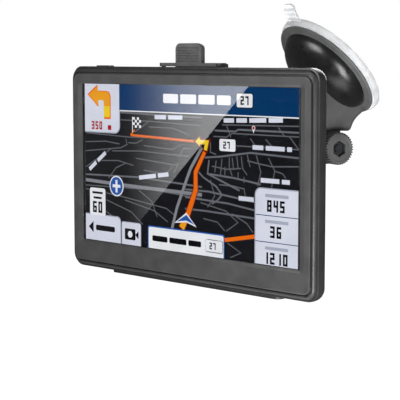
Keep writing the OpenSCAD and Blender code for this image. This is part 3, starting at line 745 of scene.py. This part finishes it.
def draw_figures(page):
    """Three figures in the panel on the right, under plain headings."""
    page.bar("shade", 49.2, LIT_X, -LIT_Z, -5.4, 7, 3.8, "a")
    page.bar("lavender", 49.8, LIT_X, -LIT_Z, -6, 8, 3.5, "a")
    for top, figures in ((-6, "845"), (-18.6, "36"), (-31.6, "1210")):
        if top < -6:
            page.bar("navy", 49.8, LIT_X, top - 0.4, top, 9)
        page.bar("shade", 56, 71, top - 3.9, top - 2.3, 9, 0.4)
        page.number("black", figures, 63.5 - 2.07 * len(figures), top - 10.9, 5.7, 9)


def screen_picture():
    """The lit picture, drawn from the ground up."""
    page = Picture()
    for draw in (draw_map, draw_labels, draw_route, draw_markers, draw_banner, draw_turn_panel,
                 draw_signs, draw_buttons, draw_figures):
        draw(page)
    page.build(INKS)


# ---------------------------------------------------------------- the mount
ARM_SHARP, CUP_STEPS = 40, 128
CUP_R, BOLT_HOLE_R = 26.5, 2.05
LEVER_PIN_Y, LEVER_PIN_Z = -7.4, 32.9


def knob():
    """The clamping wheel: fine teeth, a dished face and a six-sided nut pocket."""
    steps, teeth = 288, 36
    turns = [2 * math.pi * i / steps for i in range(steps)]

    def around(x, radii):
        return [(x, r * math.cos(a), r * math.sin(a)) for r, a in zip(radii, turns)]

    def toothed(x, radius, depth):
        return around(x, [radius - depth * (0.5 + 0.5 * math.cos(teeth * a)) ** 1.6 for a in turns])

    def six_sided(x, flats):
        sixth = math.pi / 3
        return around(x, [flats / 2 / math.cos((a + math.pi / 2) % sixth - sixth / 2) for a in turns])

    outside = [  # along the bolt, radius, tooth depth
        (11.4, 2.1, 0), (11.4, 7.1, 0), (11.4, 8.3, 0.8), (11.5, 8.6, 0.95), (11.8, 8.8, 1.05),
        (17.8, 8.8, 1.05), (18.1, 8.6, 0.95), (18.2, 8.3, 0.8), (18.2, 7.1, 0), (18.0, 6.8, 0),
        (18.0, 5.6, 0),
    ]
    pocket = [(18.0, 8.2), (17.7, 7.6), (13.6, 7.6)]
    loops = [toothed(*row) for row in outside] + [six_sided(*row) for row in pocket]
    loops.append(toothed(13.6, 2.1, 0))
    wheel = loft("tilt_knob", loops, HINGE, ring=True, sharp=28)
    dress(wheel, "knob", "knob", "knob_grey", "knob")


def rounded_outline(corners, radii, steps=6):
    """A polygon whose corners are replaced by smooth curves."""
    outline = []
    for i, corner in enumerate(corners):
        here, following = Vector(corner), corners[(i + 1) % len(corners)]
        back, on = Vector(corners[i - 1]) - here, Vector(following) - here
        reach = min(radii[i], back.length * 0.48, on.length * 0.48)
        start, stop = here + back.normalized() * reach, here + on.normalized() * reach
        for j in range(steps + 1):
            t = j / steps
            outline.append(start * (1 - t) ** 2 + here * 2 * t * (1 - t) + stop * t ** 2)
    return outline


def inward(outline, amount):
    """Moves a counter-clockwise outline in by an amount."""
    moved = []
    for i, here in enumerate(outline):
        way = (outline[(i + 1) % len(outline)] - outline[i - 1]).normalized()
        moved.append(here + Vector((-way.y, way.x)) * amount)
    return moved


def dome_profile(radius, height, steps=24):
    """A quarter of an oval that ends just short of the axis."""
    tip = 0.02
    return [(radius * math.cos(math.pi / 2 * i / steps) + (tip if i == steps else 0),
             -height * math.sin(math.pi / 2 * i / steps)) for i in range(steps + 1)]


def arm_wedge():
    """The arm's side view drawn out along the bolt, with both of its sides rounded."""
    corners = [(-5.5, 9.3), (12.6, 8.7), (15.2, 14.4), (18.6, 17.4), (33, 27), (8, 45.4),
               (-9.4, 35.9), (-10.8, 32.9), (-9.4, 24), (-8.2, 10.1)]
    radii = [3.5, 1.5, 4, 5, 6, 6, 4, 4, 6, 3.5]
    outline = rounded_outline(corners, radii)
    half, edge = 10.5, 2.8
    shares = (0.66, 0.78, 0.87, 0.94, 0.985, 1.0)
    loops = []
    for share in [-r for r in reversed(shares)] + list(shares):
        x = half * share
        over = max(0.0, abs(x) - (half - edge))
        inset = edge - math.sqrt(max(edge * edge - over * over, 0)) if over else 0
        loops.append([(x, p.x, p.y) for p in inward(outline, min(inset, edge * 0.8))])
    return loft("cup_arm", loops, HINGE, sharp=ARM_SHARP)


def arm_cutters():
    """The dome's seat, the bolt's bore, and the lever's channel, pivot and pin."""
    seat = revolve("dome", [(26.55, 4)] + dome_profile(26.55, 13.05), CUP, 96)
    beyond = block("beyond", (-60, -60, -0.05), (60, 60, 40), CUP)
    y, z, channel = LEVER_PIN_Y, LEVER_PIN_Z, 8.3
    return [seat, beyond, rod("bolt", (-20, 0, 0), (20, 0, 0), BOLT_HOLE_R, HINGE),
            block("channel", (-channel, -20, 12), (channel, y + 2.8, z + 1), HINGE),
            rod("pivot", (-channel, y, z), (channel, y, z), 4.2, HINGE, 48),
            rod("pin", (-20, y, z), (20, y, z), 1.3, HINGE)]


def mount_arm():
    """The wedge that carries the cup, joined to the tilt knuckle and cut to fit the dome."""
    arm = arm_wedge()
    knuckle = rod("knuckle", (-6, 0, 0), (6, 0, 0), 8.2, HINGE, 64)
    neck = block("neck", (-6, -6.4, 0), (6, 8.1, 12), HINGE)
    combine(arm, [knuckle, neck], "UNION", sharp=ARM_SHARP)
    combine(arm, arm_cutters(), sharp=ARM_SHARP)
    soften(arm, 0.35)
    dress(arm, "arm", "suction_base", "arm_grey", "mount_arm")


def cup_dome():
    """The hollow dome, cleared where the lever turns."""
    skin = dome_profile(CUP_R, 13.0) + dome_profile(24.3, 10.8)[::-1]
    profile = [(CUP_R, -0.02)] + skin[1:-1] + [(24.3, -0.02)]
    dome = revolve("cup_dome", profile, CUP, CUP_STEPS, ring=True)
    combine(dome, [rod("room", (-8.3, 0, -12.5), (8.3, 0, -12.5), 5.0, CUP, 48)])
    dress(dome, "dome", "suction_base", "dome_black", "dome_cover")


def cup_flange():
    """The rigid ring round the dome, with the groove that it sits in."""
    profile = [(3.1, 1.6), (30.6, 1.6), (31.2, 1.45), (31.55, 1.05), (31.6, 0.8), (31.5, 0.45),
               (31.1, 0.12), (30.5, 0.0), (28.6, 0.0), (28.2, -0.25), (27.3, -0.3), (26.9, -0.25),
               (26.6, 0.0), (4.4, 0.0), (4.4, -6.0), (3.1, -6.0)]
    flange = revolve("cup_flange", profile, CUP, CUP_STEPS, ring=True)
    dress(flange, "flange", "suction_base", "flange_grey", "flange")


def suction_disc():
    """The clear pad, hollow over the plunger's foot."""
    profile = [(13.4, 1.62), (30.8, 1.62), (32.2, 2.3), (33.05, 3.4), (33.3, 4.5), (33.2, 5.1),
               (32.9, 5.2), (0.02, 5.2), (0.02, 4.5), (13.4, 4.5)]
    disc = revolve("suction_disc", profile, CUP, CUP_STEPS, ring=True)
    dress(disc, "vinyl", "suction_base", "pad_clear", "suction_pad")


def pull_tab():
    """The pad's ribbed tab, bent a little towards the glass and narrowed at its end."""
    stations, pitch, root, half, edge, bend = 19, 0.65, -30.5, 5.5, 0.3, 2.6
    loops = []
    for i in range(stations):
        y = root - pitch * i
        rib = 0.5 if i % 4 in (1, 2) and 3 < i < 17 else 0
        wide = half if i < 17 else half - (i - 16) * 1.3
        lift = bend * max(0, (i - 2) / 16) ** 1.6
        low, high = 3.2 - rib + lift, 4.4 + lift
        loops.append([(-wide, y, low + edge), (-wide + 0.4, y, low), (wide - 0.4, y, low),
                      (wide, y, low + edge), (wide, y, high - edge), (wide - 0.4, y, high),
                      (-wide + 0.4, y, high), (-wide, y, high - edge)])
    dress(loft("pull_tab", loops, CUP), "vinyl", "suction_base", "pad_clear")


# ---------------------------------------------------------------- CAD nodes that stay
KEPT = {
    # node: (finish, edge rounding in mm)
    "latch": ("latch", 0.1),
    "cradle_plate": ("cradle", 0.35), "swivel_bracket": ("cradle", 0.4),
    "link_arm": ("cradle", 0.5), "lever": ("cradle", 0.4),
    "power_button": ("bezel", 0.35),
    "hinge_bolt": ("dark_steel", 0.2), "hinge_washer": ("dark_steel", 0.12),
    "knob_nut": ("dark_steel", 0.2),
    "lever_pin": ("steel", 0.12), "latch_pin": ("steel", 0.1), "swivel_pin": ("steel", 0.2),
    "case_screws": ("steel", 0.08), "cradle_screws": ("steel", 0.08),
    "arm_screws": ("steel", 0.08), "flange_screws": ("steel", 0.08),
    "plunger": ("steel", 0.2), "usb_socket": ("steel", 0.08), "card_holder": ("steel", 0.08),
    "shield_can": ("steel", 0.15), "power_switch": ("steel", 0.1),
    "backlight_tray": ("steel", 0.1),
    "audio_jack": ("black", 0.12), "memory_card": ("black", 0.1), "speaker": ("black", 0.15),
    "microphone": ("gold", 0.08), "main_board": ("board", 0.08), "battery": ("cell", 0.5),
    "gps_antenna": ("ceramic", 0.2), "ribbon_cable": ("flex", 0.02),
}


def finish_kept_nodes():
    """Gives the CAD nodes that stay in view their materials and rounded edges."""
    for name, (finish, edge) in KEPT.items():
        node = NODES[name]
        node.data.materials.clear()
        node.data.materials.append(FINISH[finish])
        soften(node, edge)


# ---------------------------------------------------------------- studio
def glow(name, colour, strength):
    """A plain emission material."""
    material = bpy.data.materials.new(name)
    material.use_nodes = True
    tree = material.node_tree
    tree.nodes.clear()
    emission = tree.nodes.new("ShaderNodeEmission")
    emission.inputs["Color"].default_value = colour
    emission.inputs["Strength"].default_value = strength
    output = tree.nodes.new("ShaderNodeOutputMaterial")
    tree.links.new(emission.outputs["Emission"], output.inputs["Surface"])
    return material


def only_seen_by(obj, camera=False, glossy=False):
    """Keeps a stage piece out of the light; all of them are seen through glass."""
    obj.visible_camera, obj.visible_glossy = camera, glossy
    obj.visible_diffuse = obj.visible_shadow = obj.visible_volume_scatter = False


def mirrored(x, z, throw=1.0):
    """The place that the camera sees mirrored in the cover glass at a point of the screen."""
    eye = CAMERA_IN_CASE
    return (x + (x - eye.x) * throw, eye.y * throw, z + (z - eye.z) * throw)


def fading_glow(start, stop, low, high):
    """A white glow that grows from one place of the shared frame to another."""
    material = glow("card_pale", (1, 1, 1, 1), 1.0)
    tree = material.node_tree
    place = tree.nodes.new("ShaderNodeTexCoord")
    turn = tree.nodes.new("ShaderNodeVectorMath")
    turn.operation = "DOT_PRODUCT"
    along = (stop - start) / (stop - start).length_squared
    turn.inputs[1].default_value = along
    ramp = tree.nodes.new("ShaderNodeMapRange")
    ramp.interpolation_type = "SMOOTHSTEP"
    limits = {"From Min": start.dot(along), "From Max": stop.dot(along), "To Min": low, "To Max": high}
    for socket, value in limits.items():
        ramp.inputs[socket].default_value = value
    tree.links.new(place.outputs["Object"], turn.inputs[0])
    tree.links.new(turn.outputs["Value"], ramp.inputs["Value"])
    tree.links.new(ramp.outputs["Result"], tree.nodes["Emission"].inputs["Strength"])
    return material


def card(name, outline, material):
    """A flat stage piece that shows only as a reflection."""
    sheet = mesh_object(name, outline, [tuple(range(len(outline)))], CASE)
    sheet.data.materials.append(material)
    only_seen_by(sheet, glossy=True)


def gloss_cards():
    """A dark card that keeps the glass dark, and a pale one whose edge crosses the screen."""
    x, z = 240, 180
    behind = [mirrored(*corner, 1.15) for corner in ((-x, -z), (x, -z), (x, z), (-x, z))]
    card("dark_card", behind, glow("card_dark", (0.004, 0.004, 0.005, 1), 1.0))
    wedge = ((44.2, 42.5), (51, 49), (-90, 49), (-90, -82.7), (-33.4, -29.9))
    start, stop = CASE @ Vector(mirrored(-48, 30)), CASE @ Vector(mirrored(36, 30))
    card("pale_card", [mirrored(*corner) for corner in wedge], fading_glow(start, stop, 0.06, 3.2))


def soft_light(name, place, target, size, power):
    """A rectangular light that faces its target."""
    data = bpy.data.lights.new(name, "AREA")
    data.shape, data.size, data.size_y = "RECTANGLE", size[0], size[1]
    data.energy = power
    light = bpy.data.objects.new(name, data)
    bpy.context.scene.collection.objects.link(light)
    light.location = place
    light.rotation_euler = (target - place).to_track_quat("-Z", "Y").to_euler()


LIGHTS = {
    # name: (metres from the part's middle, size in metres, watts)
    "front_box": ((-0.06, -0.36, 0.17), (0.2, 0.2), 1.35),
    "low_right": ((0.26, -0.21, -0.16), (0.16, 0.24), 1.9),
    "right_strip": ((0.62, 0.10, 0.16), (0.12, 0.6), 0.85),
    "back_fill": ((-0.3, 0.62, 0.3), (0.5, 0.5), 5.0),
    "under_bounce": ((-0.1, -0.25, -0.6), (0.7, 0.5), 2.6),
}


def floor_and_backdrop():
    """A pale floor with a white bowl round it, both out of the light."""
    reach, sides, drop = 6.0, 48, 0.22
    angles = [2 * math.pi * i / sides for i in range(sides)]
    floor_z = CAD_BOX[0].z - drop
    disc = [(reach * math.cos(a), reach * math.sin(a), floor_z) for a in angles]
    floor = mesh_object("floor", disc, [tuple(range(sides))], Matrix.Identity(4))
    pale = Shader("pale_floor", Roughness=0.8, Emission_Strength=1.0)
    pale.blend(pale.noise(size_mm=80, detail=2), (0.97, 0.97, 0.97, 1), (1, 1, 1, 1), "Emission Color")
    floor.data.materials.append(pale.material)
    only_seen_by(floor, camera=True)

    turns = [math.radians(t) for t in range(-90, 91, 10)]
    bowl = [(reach * math.cos(t) + 0.01, reach * math.sin(t)) for t in turns]
    backdrop = revolve("backdrop", bowl, Matrix.Identity(4), sides)
    backdrop.data.materials.append(glow("backdrop_white", (1, 1, 1, 1), 1.0))
    only_seen_by(backdrop, camera=True)


def studio():
    """Soft light, a pale floor and plain display colours."""
    world = bpy.data.worlds.new("studio")
    world.use_nodes = True
    world.node_tree.nodes["Background"].inputs["Color"].default_value = (0.1, 0.1, 0.102, 1)
    bpy.context.scene.world = world
    bpy.context.scene.view_settings.view_transform = "Standard"
    floor_and_backdrop()
    middle = (CAD_BOX[0] + CAD_BOX[1]) / 2
    for name, (offset, size, power) in LIGHTS.items():
        soft_light(name, middle + Vector(offset), middle, size, power)


front_frame()
back_shell()
screen_stack()
screen_picture()
knob()
mount_arm()
cup_dome()
cup_flange()
suction_disc()
pull_tab()
finish_kept_nodes()
gloss_cards()
studio()
